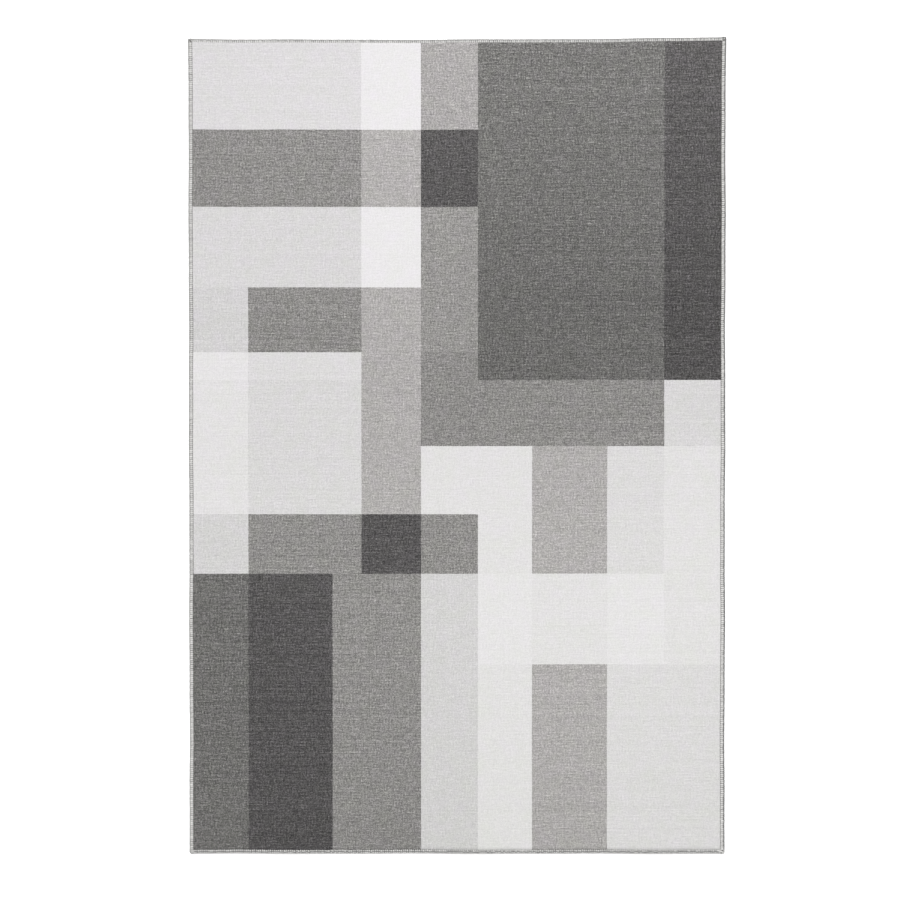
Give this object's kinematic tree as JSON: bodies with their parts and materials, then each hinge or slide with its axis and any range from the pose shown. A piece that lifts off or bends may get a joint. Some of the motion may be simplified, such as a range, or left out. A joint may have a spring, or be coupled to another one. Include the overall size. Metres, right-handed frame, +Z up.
{
  "type": "area rug",
  "caption": "Rectangular low-pile area rug with a heathered grey block pattern, layered backing and a serged edge with wrapped corners.",
  "frame": {"origin": "the middle of the underside, on the floor", "axes": "+Z up out of the face; +Y along the length, towards the far end; +X across the width, to the right"},
  "size_m": [1, 1.52, 0.008],
  "materials": {
    "pile": "low heathered pile, matt, in blocks of grey",
    "serging_yarn": "twisted yarn, soft sheen",
    "needle_thread": "fine twisted thread",
    "primary_backing": "thin plain weave, matt",
    "latex": "matt, slightly tacky",
    "felt": "needled felt, matt"
  },
  "bodies": {
    "root": {"pile_face": "pile", "primary_backing": "primary_backing", "latex_coat": "latex", "felt_backing": "felt", "serged_edge_left": "serging_yarn", "serged_edge_right": "serging_yarn", "serged_edge_far": "serging_yarn", "serged_edge_near": "serging_yarn", "corner_wrap_far_left": "serging_yarn", "corner_wrap_far_right": "serging_yarn", "corner_wrap_near_left": "serging_yarn", "corner_wrap_near_right": "serging_yarn", "seam_thread_left": "needle_thread", "seam_thread_right": "needle_thread", "seam_thread_far": "needle_thread", "seam_thread_near": "needle_thread"}
  },
  "joints": []
}
